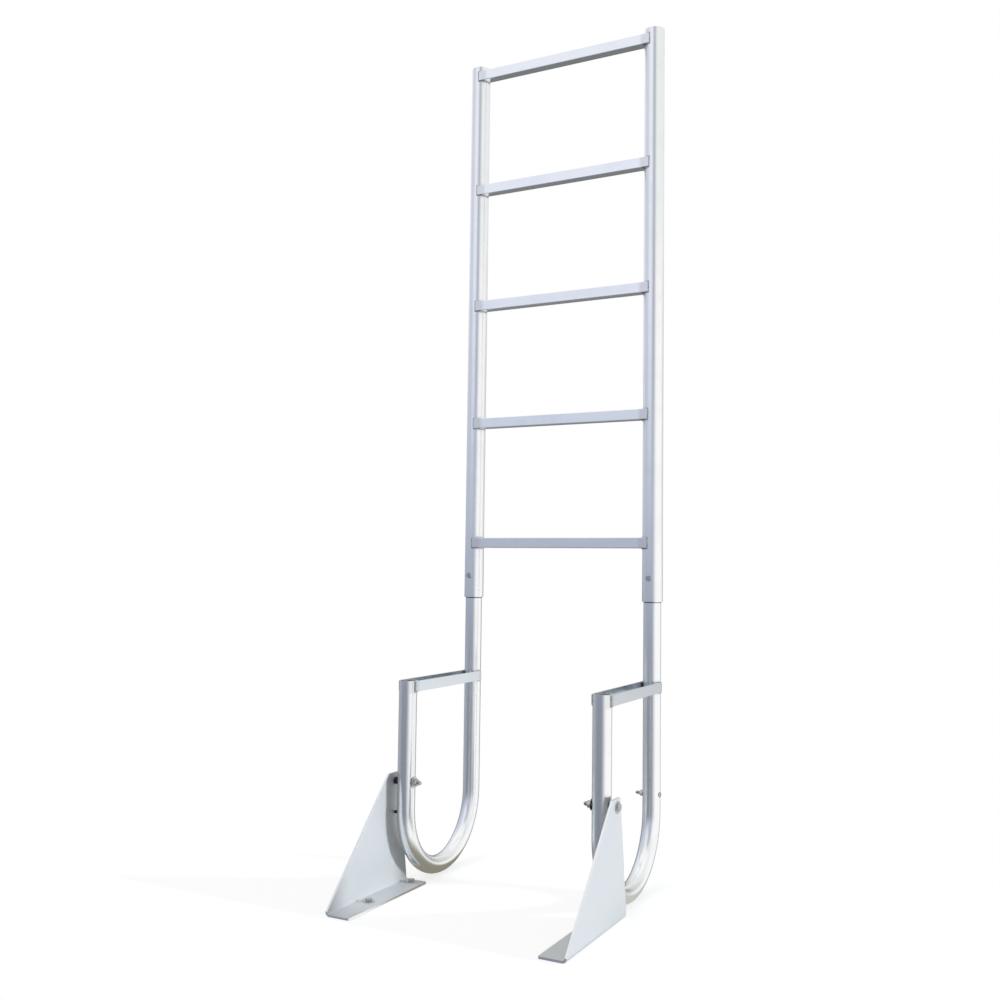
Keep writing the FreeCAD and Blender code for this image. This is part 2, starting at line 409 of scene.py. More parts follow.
def add_node(tree, kind, inputs=None, **settings):
    """Adds a node, with its settings and with its inputs wired or set."""
    made = tree.nodes.new(kind)
    for name, value in settings.items():
        setattr(made, name, value)
    for name, value in (inputs or {}).items():
        wire(tree, made.inputs[name], value)
    return made


def calculate(tree, operation, first, second=0.0):
    return add_node(tree, "ShaderNodeMath", {0: first, 1: second}, operation=operation).outputs[0]


def plus(tree, first, second):
    return calculate(tree, "ADD", first, second)


def minus(tree, first, second):
    return calculate(tree, "SUBTRACT", first, second)


def times(tree, first, second):
    return calculate(tree, "MULTIPLY", first, second)


def apart(tree, first, second):
    """How far two values are from each other."""
    return calculate(tree, "ABSOLUTE", minus(tree, first, second))


def split(tree, vector):
    """The X, Y and Z of a vector."""
    return add_node(tree, "ShaderNodeSeparateXYZ", {"Vector": vector}).outputs


def coordinates(tree, kind="Object"):
    return add_node(tree, "ShaderNodeTexCoord").outputs[kind]


def ramp(tree, value, start, end, low=0.0, high=1.0):
    """Value carried smoothly from one range to another."""
    inputs = {"Value": value, "From Min": start, "From Max": end, "To Min": low, "To Max": high}
    made = add_node(tree, "ShaderNodeMapRange", inputs, interpolation_type="SMOOTHSTEP")
    return made.outputs["Result"]


def band(tree, value, middle, half_width, fade=9 * MM):
    """1 within a half width of the middle, falling to 0 over the fade."""
    return ramp(tree, apart(tree, value, middle), half_width, half_width + fade, 1.0, 0.0)


def gradient(tree, value, stops):
    """Colour that a value picks from a list of (value, colour) stops."""
    reach = stops[-1][0]
    made = add_node(tree, "ShaderNodeValToRGB", {"Fac": calculate(tree, "DIVIDE", value, reach)})
    points = made.color_ramp.elements
    points.remove(points[0])
    for i, (place, colour) in enumerate(stops):
        point = points[0] if i == 0 else points.new(place / reach)
        point.position = place / reach
        point.color = (*colour, 1)
    return made.outputs["Color"]


def blended(tree, share, first, second):
    """Colour between two others."""
    made = add_node(tree, "ShaderNodeMix", {0: share, 6: first, 7: second}, data_type="RGBA")
    return made.outputs[2]


def seen_directly(tree):
    """1 for rays from the camera or off metal that it sees, and 0 for light that spreads."""
    rays = add_node(tree, "ShaderNodeLightPath").outputs
    sharp = calculate(tree, "MAXIMUM", rays["Is Camera Ray"], rays["Is Glossy Ray"])
    sharp = calculate(tree, "MAXIMUM", sharp, rays["Is Transmission Ray"])
    return times(tree, sharp, calculate(tree, "LESS_THAN", rays["Diffuse Depth"], 0.5))


def cloud(tree, vector, scale, detail=2.0, roughness=0.5):
    inputs = {"Vector": vector, "Scale": scale, "Detail": detail, "Roughness": roughness}
    return add_node(tree, "ShaderNodeTexNoise", inputs).outputs["Fac"]


def mapped(tree, vector, scale, turn=(0, 0, 0), shift=(0, 0, 0)):
    inputs = {"Vector": vector, "Location": shift, "Rotation": turn, "Scale": scale}
    return add_node(tree, "ShaderNodeMapping", inputs).outputs["Vector"]


def relief(tree, shader, height, strength, depth):
    """Lets a shader look embossed by the heights."""
    inputs = {"Strength": strength, "Distance": depth, "Height": height}
    made = add_node(tree, "ShaderNodeBump", inputs)
    wire(tree, shader.inputs["Normal"], made.outputs["Normal"])


def let_through(tree, surface, share):
    """Lets a share of the light pass straight through a surface."""
    clear = add_node(tree, "ShaderNodeBsdfTransparent").outputs["BSDF"]
    mixed = add_node(tree, "ShaderNodeMixShader", {0: share, 1: surface, 2: clear})
    for end in tree.nodes:
        if end.type == "OUTPUT_MATERIAL":
            wire(tree, end.inputs["Surface"], mixed.outputs["Shader"])


# Effects that several finishes share

def new_group(name, inputs, output):
    """An empty shader node group with named inputs and one output."""
    tree = bpy.data.node_groups.new(name, "ShaderNodeTree")
    for socket_name, kind, value in inputs:
        socket = tree.interface.new_socket(socket_name, in_out="INPUT", socket_type=kind)
        if value is not None:
            socket.default_value = value
    tree.interface.new_socket(output, in_out="OUTPUT", socket_type="NodeSocketFloat")
    given = tree.nodes.new("NodeGroupInput").outputs
    return tree, given, tree.nodes.new("NodeGroupOutput").inputs[output]


def drawn_lines(fine_share=0.55, broad_scale=0.16):
    """Fine lines that a die or a roll leaves, along the axis whose scale is least."""
    tree, given, result = new_group(
        "Drawn Lines",
        [("Vector", "NodeSocketVector", None), ("Scale", "NodeSocketVector", (900.0, 900.0, 3.0))],
        "Lines")
    drawn = mapped(tree, given["Vector"], given["Scale"])
    fine = times(tree, cloud(tree, drawn, 1.0, detail=3.0, roughness=0.6), fine_share)
    broad = times(tree, cloud(tree, drawn, broad_scale), 1 - fine_share)
    wire(tree, result, plus(tree, fine, broad))


def handling_marks(half_width=0.012, patch_scale=24, least=0.85, spread=0.4, fade=0.08):
    """Thin scratches in patches, lying three ways. More density lowers the edge of the patches."""
    tree, given, result = new_group(
        "Handling Marks",
        [("Vector", "NodeSocketVector", None), ("Density", "NodeSocketFloat", 0.5)],
        "Marks")
    place = given["Vector"]
    ways = (((0.4, 0.9, 0.2), (420, 16, 16), 0.0),
            ((1.3, 0.1, 2.1), (360, 22, 14), 7.0),
            ((2.2, 1.7, 0.8), (520, 12, 20), 13.0))
    edge = minus(tree, least, times(tree, given["Density"], spread))
    total = 0.0
    for turn, scale, shift in ways:
        lines = cloud(tree, mapped(tree, place, scale, turn, (shift, shift, shift)), 1.0, 1.0)
        thin = ramp(tree, apart(tree, lines, 0.5), 0.0, half_width, 1.0, 0.0)
        spread_out = mapped(tree, place, (patch_scale,) * 3, turn, (shift, 0, shift))
        patches = cloud(tree, spread_out, 1.0)
        shown = ramp(tree, patches, edge, plus(tree, edge, fade))
        total = plus(tree, total, times(tree, thin, shown))
    wire(tree, result, calculate(tree, "MINIMUM", total, 1.0))


def oxide_bloom(mottle_scale=260.0):
    """Clouds of dulled metal, with finer mottling inside them."""
    tree, given, result = new_group(
        "Oxide Bloom",
        [("Vector", "NodeSocketVector", None), ("Scale", "NodeSocketFloat", 14.0)],
        "Bloom")
    large = cloud(tree, given["Vector"], given["Scale"], detail=5.0, roughness=0.62)
    mottle = cloud(tree, given["Vector"], mottle_scale, roughness=0.6)
    wire(tree, result, times(tree, ramp(tree, large, 0.42, 0.72),
                             ramp(tree, mottle, 0.2, 0.7, 0.5, 1.0)))


# Finishes

# Lengths that welding frosts, the reach of the painted shade under a rung's ends,
# and the line along a plate's cut edge
RUNG_FROST, RUNG_SHADE_REACH, RAIL_FROST, BAR_FROST = 8 * MM, 2 * MM, 16 * MM, 13 * MM
EDGE_LINE = 0.3 * MM
PALE_SCRATCH = (0.9, 0.9, 0.9)
# Colour of the painted shade under the rungs' ends and on the handrails under the rails' ends
PAINTED_SHADE = (0.10, 0.10, 0.12)
BURNT_WELD = (0.22, 0.22, 0.23)
DUST = (0.07, 0.07, 0.07)
# Share of a scratch's or of the frosting's colour that shows
TINT = 0.35
# What scratches, drawn lines, frosting and clouds of oxide each add to the roughness
SCRATCH_ROUGH = LINE_ROUGH = FROST_ROUGH = 0.12
BLOOM_ROUGH = 0.06
# Depth of a drawn line, and how deep a scratch is beside it
LINE_DEPTH, SCRATCH_DEPTH = 0.02 * MM, 0.8


def along_handrail(tree, place):
    """Coordinates that follow the bent tube: across it, out from its bend's middle, along it."""
    parts = split(tree, place)
    aside = apart(tree, parts["Y"], BEND_RADIUS)
    below = calculate(tree, "MAXIMUM", minus(tree, BEND_HEIGHT, parts["Z"]), 0.0)
    squares = plus(tree, times(tree, aside, aside), times(tree, below, below))
    out = calculate(tree, "POWER", squares, 0.5)
    round_bend = times(tree, calculate(tree, "ARCTAN2", below, aside), BEND_RADIUS)
    above = calculate(tree, "MAXIMUM", parts["Z"], BEND_HEIGHT)
    inputs = {"X": parts["X"], "Y": out, "Z": minus(tree, above, round_bend)}
    return add_node(tree, "ShaderNodeCombineXYZ", inputs).outputs["Vector"]


def rail_haze(tree, place):
    """Frosting on a rail's inboard side round each rung's end."""
    parts = split(tree, place)
    half = RUNG_PITCH / 2
    from_below = minus(tree, parts["Z"], LOW_RUNG - half)
    height = calculate(tree, "FLOORED_MODULO", from_below, RUNG_PITCH)
    inboard = band(tree, parts["X"], MIDDLE_X, RAIL_OFFSET - RAIL_FROST)
    return times(tree, band(tree, height, half, RUNG_HALF), inboard)


def rung_haze(tree, place):
    """Frosting on the ends of a rung."""
    clean = RAIL_OFFSET - RAIL_RADIUS - RUNG_FROST
    return minus(tree, 1.0, band(tree, split(tree, place)["X"], MIDDLE_X, clean, fade=10 * MM))


def rung_painted_shade(tree, place, darkest=0.75):
    """Painted shade on the faces that look down at the ends of a rung, beside the rails."""
    clean = RAIL_OFFSET - RAIL_RADIUS - RUNG_SHADE_REACH
    middle = band(tree, split(tree, place)["X"], MIDDLE_X, clean)
    under = ramp(tree, split(tree, coordinates(tree, "Normal"))["Z"], -0.6, -0.3, darkest, 0.0)
    return times(tree, under, minus(tree, 1.0, middle))


def brace_haze(tree, place):
    """Frosting on a handrail round the ends of its bars."""
    parts = split(tree, place)
    half = (BRACE_HIGH - BRACE_LOW) / 2
    beside = band(tree, parts["Z"], BRACE_LOW + half, half)
    aside = apart(tree, parts["X"], MIDDLE_X)
    middle = band(tree, aside, RAIL_OFFSET, half_width=10 * MM, fade=8 * MM)
    return times(tree, beside, minus(tree, 1.0, middle))


def sleeve_painted_shade(tree, place, below=0.6 * MM, palest=0.55, darkest=0.95):
    """Painted shade: a thin dark line, made uneven by a cloud, on a handrail just under the end of
    its rail.
    """
    height = split(tree, place)["Z"]
    line = band(tree, height, RAIL_LOW - below, half_width=1.4 * MM, fade=1.2 * MM)
    return times(tree, line, ramp(tree, cloud(tree, place, 90.0), 0.25, 0.5, palest, darkest))


def bar_haze(tree, place):
    """Frosting on the ends of a bar."""
    clean = BEND_RADIUS - BAR_FROST
    return minus(tree, 1.0, band(tree, split(tree, place)["Y"], BEND_RADIUS, clean))


def plate_cut(tree, place):
    """The bright thickness of a bracket's plate, at its ends and on the flange's long side."""
    facing = split(tree, coordinates(tree, "Normal"))
    endways = ramp(tree, calculate(tree, "ABSOLUTE", facing["Y"]), 0.2, 0.4)
    reach = MIDDLE_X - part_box("left_bracket")[1].x + EDGE_LINE
    side = band(tree, split(tree, place)["X"], MIDDLE_X, reach, EDGE_LINE)
    return calculate(tree, "MAXIMUM", endways, side)


def new_finish(name):
    """A new material, its tree and its shader."""
    finish = bpy.data.materials.new(name)
    finish.use_nodes = True
    return finish, finish.node_tree, finish.node_tree.nodes["Principled BSDF"]


def metal(name, colour, roughness, line_scale, follow=None, haze=None, cut=None, painted_shade=None,
          marks=0.5, dulling=0.2, shine=1.0):
    """Bare metal with drawn lines, dull clouds and scratches, frosted by welds, bright if cut,
    and darkened with painted shade where a mask is given.
    """
    finish, tree, shader = new_finish(name)
    place = coordinates(tree)

    def effect(group, **inputs):
        made = add_node(tree, "ShaderNodeGroup", node_tree=bpy.data.node_groups[group])
        for socket, value in inputs.items():
            wire(tree, made.inputs[socket], value)
        return made.outputs[0]

    path = follow(tree, place) if follow else place
    lines = effect("Drawn Lines", Vector=path, Scale=line_scale)
    bloom = effect("Oxide Bloom", Vector=place)
    scratches = effect("Handling Marks", Vector=place, Density=marks)
    shade = blended(tree, times(tree, bloom, dulling), colour, colours().oxide)
    shade = blended(tree, times(tree, scratches, TINT), shade, PALE_SCRATCH)
    worn = plus(tree, times(tree, bloom, BLOOM_ROUGH), times(tree, scratches, SCRATCH_ROUGH))
    grain = times(tree, minus(tree, lines, 0.5), LINE_ROUGH)
    rough = plus(tree, plus(tree, worn, grain), roughness)
    if haze:
        frosted = haze(tree, place)
        shade = blended(tree, times(tree, frosted, TINT), shade, colours().weld)
        rough = plus(tree, rough, times(tree, frosted, FROST_ROUGH))
    # Painted shade: darkens the colour where the mask is
    if painted_shade:
        shade = blended(tree, painted_shade(tree, place), shade, PAINTED_SHADE)
    if cut:
        fresh = cut(tree, place)
        shade = blended(tree, fresh, shade, colours().tube)
        shine = ramp(tree, fresh, 0.0, 1.0, shine, 1.0)
    wire(tree, shader.inputs["Base Color"], shade)
    wire(tree, shader.inputs["Roughness"], rough)
    wire(tree, shader.inputs["Metallic"], shine)
    height = minus(tree, lines, times(tree, scratches, SCRATCH_DEPTH))
    relief(tree, shader, height, strength=0.2, depth=LINE_DEPTH)
    return finish


def weld_metal(stain_share=0.7, grain_depth=0.08 * MM):
    """Frosted, slightly stained weld beads."""
    finish, tree, shader = new_finish("Weld Bead")
    place = coordinates(tree)
    grain = cloud(tree, place, 900.0, detail=3.0, roughness=0.6)
    stain = ramp(tree, cloud(tree, place, 300.0, detail=3.0, roughness=0.6), 0.42, 0.62)
    shade = blended(tree, times(tree, stain, stain_share), colours().weld, BURNT_WELD)
    wire(tree, shader.inputs["Base Color"], shade)
    wire(tree, shader.inputs["Roughness"], ramp(tree, grain, 0.2, 0.8, 0.26, 0.46))
    wire(tree, shader.inputs["Metallic"], 1.0)
    relief(tree, shader, grain, strength=0.4, depth=grain_depth)
    return finish


def nylon(dust_share=0.5, grain_depth=0.05 * MM):
    """Matte black moulded nylon with a faint texture."""
    finish, tree, shader = new_finish("Black Nylon")
    place = coordinates(tree)
    grain = cloud(tree, place, 1400.0, roughness=0.6)
    dust = ramp(tree, cloud(tree, place, 180.0, detail=4.0, roughness=0.6), 0.5, 0.8)
    shade = blended(tree, times(tree, dust, dust_share), colours().nylon, DUST)
    wire(tree, shader.inputs["Base Color"], shade)
    wire(tree, shader.inputs["Roughness"], ramp(tree, dust, 0.0, 1.0, 0.42, 0.62))
    relief(tree, shader, grain, strength=0.3, depth=grain_depth)
    return finish


def finish_named(name):
    """A finish by its name, made with all the others on first use."""
    if name not in bpy.data.materials:
        drawn_lines()
        handling_marks()
        oxide_bloom()
        tube, gloss = colours().tube, colours().tube_roughness
        metal("Rail Tube", tube, gloss, (900, 900, 3), haze=rail_haze)
        metal("Handrail Tube", tube, gloss, (900, 900, 3), follow=along_handrail, haze=brace_haze,
              painted_shade=sleeve_painted_shade)
        metal("Rung Tube", tube, gloss, (3, 900, 900), haze=rung_haze, painted_shade=rung_painted_shade)
        metal("Flat Bar", colours().bar, gloss, (900, 3, 900), haze=bar_haze)
        metal("Rolled Plate", colours().plate, colours().plate_roughness, (900, 5, 900),
              cut=plate_cut, marks=0.6, shine=colours().plate_metal)
        metal("Stainless", colours().stainless, colours().bolt_roughness, (700, 700, 700),
              marks=0.2)
        weld_metal()
        nylon()
    return bpy.data.materials[name]


class DOCKLADDER_OT_rails(bpy.types.Operator):
    """Turn the two straight rails, with deburred ends"""

    bl_idname = "dockladder.rails"
    bl_label = "Rails"

    def execute(self, context):
        inner = RAIL_RADIUS - sizes().rail_wall
        outline = [(inner, 0), (RAIL_RADIUS, 0), (RAIL_RADIUS, RAIL_HIGH - RAIL_LOW),
                   (inner, RAIL_HIGH - RAIL_LOW)]
        for side in SIDES:
            tube = turned(outline, sizes().tube_edge)
            placed(tube, Z, Vector((RAIL_X[side], LONG_LEG_Y, RAIL_LOW)))
            new_piece(side + "_rail_tube", tube, "ladder", finish_named("Rail Tube"),
                      [side + "_rail"])
        return {"FINISHED"}


class DOCKLADDER_OT_plates(bpy.types.Operator):
    """Break the edges of the brackets and of the flat bars"""

    bl_idname = "dockladder.plates"
    bl_label = "Brackets and Bars"

    def execute(self, context):
        for side in SIDES:
            for node, body, slot, finish in (
                    ("bracket", "brackets", "plate", "Rolled Plate"),
                    ("inner_brace", "ladder", "flat_bar", "Flat Bar"),
                    ("outer_brace", "ladder", "flat_bar", "Flat Bar")):
                bm = copy_of("%s_%s" % (side, node))
                break_edges(bm, sizes().plate_edge)
                new_piece("%s_%s_plate" % (side, node), bm, body, finish_named(finish),
                          ["%s_%s" % (side, node)])
        return {"FINISHED"}


class DOCKLADDER_OT_rung_welds(bpy.types.Operator):
    """Lay a weld round both ends of each rung"""

    bl_idname = "dockladder.rung_welds"
    bl_label = "Rung Welds"

    def execute(self, context):
        for seed, rung in enumerate(RUNGS):
            dice = random.Random(seed)
            bm = bmesh.new()
            for side, inward in (("left", 1), ("right", -1)):
                weld_bead(bm, self.seam(rung, side, inward), True, dice)
            new_piece(rung + "_welds", bm, "ladder", finish_named("Weld Bead"))
        return {"FINISHED"}

    @staticmethod
    def seam(rung, side, inward, steps=24):
        """The line round a rung's end on its rail: along the top, down the front and back below."""
        furthest = math.acos(RUNG_REACH / RAIL_RADIUS)
        top, bottom = centre(rung).z + RUNG_HALF, centre(rung).z - RUNG_HALF
        points = []
        for height, order in ((top, range(steps + 1)), (bottom, range(steps, -1, -1))):
            for step in order:
                angle = furthest * step / steps
                points.append(Vector((RAIL_X[side] + inward * RAIL_RADIUS * math.cos(angle),
                                      LONG_LEG_Y - RAIL_RADIUS * math.sin(angle), height)))
        return points


class DOCKLADDER_OT_brace_welds(bpy.types.Operator):
    """Lay a weld round each end of the flat bars"""

    bl_idname = "dockladder.brace_welds"
    bl_label = "Bar Welds"

    def execute(self, context):
        inset, below_top, step, first_seed = 9 * MM, 1 * MM, 1 * MM, 10
        top, bottom, end = BRACE_HIGH - below_top, BRACE_LOW, -BRACE_END_Y
        for seed, side in enumerate(SIDES, first_seed):
            dice = random.Random(seed)
            bm = bmesh.new()
            for outward in (-1, 1):
                short = [(end, top), (end, bottom), (inset, bottom)]
                long = [(inset, top), (end, top), (end, bottom), (inset, bottom)]
                for outline, place in ((short, lambda y: y), (long, lambda y: LONG_LEG_Y - y)):
                    line = even_steps([Vector((0, y, z)) for y, z in outline], step)
                    points = [Vector((RAIL_X[side] + outward * self.seam(p.y), place(p.y), p.z))
                              for p in line]
                    weld_bead(bm, points, False, dice)
            new_piece(side + "_brace_welds", bm, "ladder", finish_named("Weld Bead"))
        return {"FINISHED"}

    @staticmethod
    def seam(y):
        """Middle of the gap between a bar's face and the round tube, beside the tube's middle."""
        return (TUBE_RADIUS + math.sqrt(TUBE_RADIUS ** 2 - y ** 2)) / 2


class DOCKLADDER_OT_bolts(bpy.types.Operator):
    """Cut real threads on the ends of the bolts"""

    bl_idname = "dockladder.bolts"
    bl_label = "Bolts"

    def execute(self, context):
        pivot = (sizes().pivot_thread, sizes().pivot_pitch)
        joint = (sizes().joint_thread, sizes().joint_pitch)
        for node, nut, axis, body, thread_sizes in (
                ("left_pivot_bolt", "left_pivot_nut", X, "brackets", pivot),
                ("right_pivot_bolt", "right_pivot_nut", -X, "brackets", pivot),
                ("left_joint_bolt", "left_joint_nut", Y, "ladder", joint),
                ("right_joint_bolt", "right_joint_nut", Y, "ladder", joint),
                ("right_leg_bolt", "right_leg_nut", -X, "ladder", joint)):
            bm = threaded_bolt(node, nut, axis, *thread_sizes)
            new_piece(node + "_threaded", bm, body, finish_named("Stainless"), [node],
                      sharp_angle=math.radians(28))
        return {"FINISHED"}


class DOCKLADDER_OT_washers(bpy.types.Operator):
    """Round the edges of the pivots' washers and spacers"""

    bl_idname = "dockladder.washers"
    bl_label = "Washers and Spacers"

    def execute(self, context):
        hole = sizes().pivot_thread / 2 + sizes().washer_clearance
        for side in SIDES:
            for node, slot, finish in (("pivot_washer", "stainless", "Stainless"),
                                       ("nut_washer", "stainless", "Stainless"),
                                       ("pivot_spacer", "nylon", "Black Nylon")):
                name = "%s_%s" % (side, node)
                low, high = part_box(name)
                ring = washer((high.y - low.y) / 2, hole, high.x - low.x)
                placed(ring, X, Vector((low.x, centre(name).y, centre(name).z)))
                new_piece(name + "_ring", ring, "brackets", finish_named(finish), [name])
        return {"FINISHED"}


class DOCKLADDER_OT_deck_screws(bpy.types.Operator):
    """Add the hexagon screws and washers over the holes in the flanges"""

    bl_idname = "dockladder.deck_screws"
    bl_label = "Deck Screws"

    def execute(self, context):
        seat = Vector((RAIL_X["left"], LONG_LEG_Y - RAIL_RADIUS, centre("left_joint_bolt").z))
        thickness = size("left_pivot_washer").x
        for side in SIDES:
            mount = MOUNTS[side + "_foot_screws"]
            reach = mount["dims"]["spacing_y_mm"] * MM / 2
            for place, shift in (("front", -reach), ("back", reach)):
                head = cut_off(copy_of("left_joint_bolt"), seat, Y)
                head.transform(Matrix.Translation(-seat))
                head.transform((-Y).rotation_difference(Z).to_matrix().to_4x4())
                foot = Vector(mount["pos_m"]) + Vector((0, shift, 0))
                foot.z = PLATE
                placed(head, Z, foot + Z * thickness)
                ring = washer(sizes().screw_washer / 2, sizes().joint_thread / 2, thickness)
                absorb(head, placed(ring, Z, foot))
                new_piece("%s_%s_screw" % (side, place), head, "brackets",
                          finish_named("Stainless"))
        return {"FINISHED"}


class DOCKLADDER_OT_finishes(bpy.types.Operator):
    """Give the frame's own nodes their finishes"""

    bl_idname = "dockladder.finishes"
    bl_label = "Finishes"

    def execute(self, context):
        finishes = {"handrail": "Handrail Tube", "rung": "Rung Tube", "nut": "Stainless",
                    "rub_pin": "Black Nylon"}
        for name, node in NODES.items():
            if node.hide_render:
                continue
            found = [finish for part, finish in finishes.items() if part in name]
            if len(found) != 1:
                raise RuntimeError("No finish is given for " + name)
            for slot in node.material_slots:
                slot.material = finish_named(found[0])
        return {"FINISHED"}


# Studio. Directions are degrees clockwise from the camera, heights are on the wall.

# What the metal reflects, as (height, colour) stops: the white side, the grey side and behind
WHITE_SIDE = ((2.5, (1, 1, 1)), (3.2, (0.885, 0.895, 0.89)), (4.1, (0.86, 0.90, 0.87)))
GREY_SIDE = ((0.0, (0.235, 0.26, 0.31)), (0.36, (0.34, 0.375, 0.46)), (0.9, (0.45, 0.49, 0.61)),
             (1.78, (0.63, 0.68, 0.785)), (2.65, (0.80, 0.83, 0.96)), (4.4, (0.86, 0.885, 0.96)))
BEHIND = ((0.0, (0.16, 0.17, 0.17)), (0.2, (0.19, 0.20, 0.20)), (0.6, (0.25, 0.26, 0.26)),
          (1.0, (0.66, 0.66, 0.61)), (2.4, (0.70, 0.69, 0.61)), (3.2, (0.82, 0.85, 0.90)))
BEHIND_FROM = (140.0, 165.0)
# Darker parts of the grey side, above these heights: direction, half width, fade and depth
DIPS_HEIGHT = (0.9, 2.3)
DIPS = ((5.0, 7.0, 22.0, 0.48), (97.0, 15.0, 25.0, 0.22))
# Pale foot of the grey side: from which direction, up to which height, and how pale
FOOT_FROM = (60.0, 110.0)
FOOT_HEIGHT, FOOT_SHARE = 0.3, 0.2
# The grey side reaches further round above these heights, by this much
OVERHANG_HEIGHT, OVERHANG = (0.6, 1.0), 25.0
# Where the grey side starts and ends, on the wall and on the ground
WALL_SHADE = ((-34.0, 12.0), (208.0, 245.0))
GROUND_SHADE = ((-48.0, 18.0), (204.0, 240.0))
# Patches of the ground: middle, reach and colour. The two under the bends are painted shadow
# of the ladder, seen in the metal; the two before the right bracket are darker ground.
# Each fades out between these squares of its reach.
PATCH_FADE = (0.4, 1.6)
BLUE_GREY = (0.22, 0.24, 0.29)
PATCHES = (
    (RAIL_X["left"] - 40 * MM, BEND_RADIUS - 40 * MM, 200 * MM, 250 * MM, (0.27, 0.26, 0.20)),
    (RAIL_X["right"] - 20 * MM, BEND_RADIUS - 10 * MM, 130 * MM, 210 * MM, (0.55, 0.57, 0.51)),
    (RAIL_X["right"] - 180 * MM, -850 * MM, 160 * MM, 500 * MM, BLUE_GREY),
    (RAIL_X["right"] - 10 * MM, -300 * MM, 60 * MM, 60 * MM, BLUE_GREY))
# How far the floor reaches before the flanges, behind the rails and to each side, and its drop
FLOOR_FRONT, FLOOR_BACK, FLOOR_SIDE, FLOOR_DROP = 12 * MM, 60 * MM, 3.0, 0.5 * MM
# How far the floor clears seen from behind, and at which slopes of the view it starts and ends
FLOOR_CLEAR, FLOOR_SLOPES = 0.7, (0.1, 0.3)
FLAG_REACH, FLAG_HEIGHT, FLAG_DROP = 5.0, 7.0, 0.25 * MM
BLACK, WHITE = (0, 0, 0), (1, 1, 1)


def even_light(tree):
    """Full strength for what is seen directly, and the strength of the sky otherwise."""
    return ramp(tree, seen_directly(tree), 0.0, 1.0, studio().sky, 1.0)


def geometry(tree):
    return add_node(tree, "ShaderNodeNewGeometry").outputs


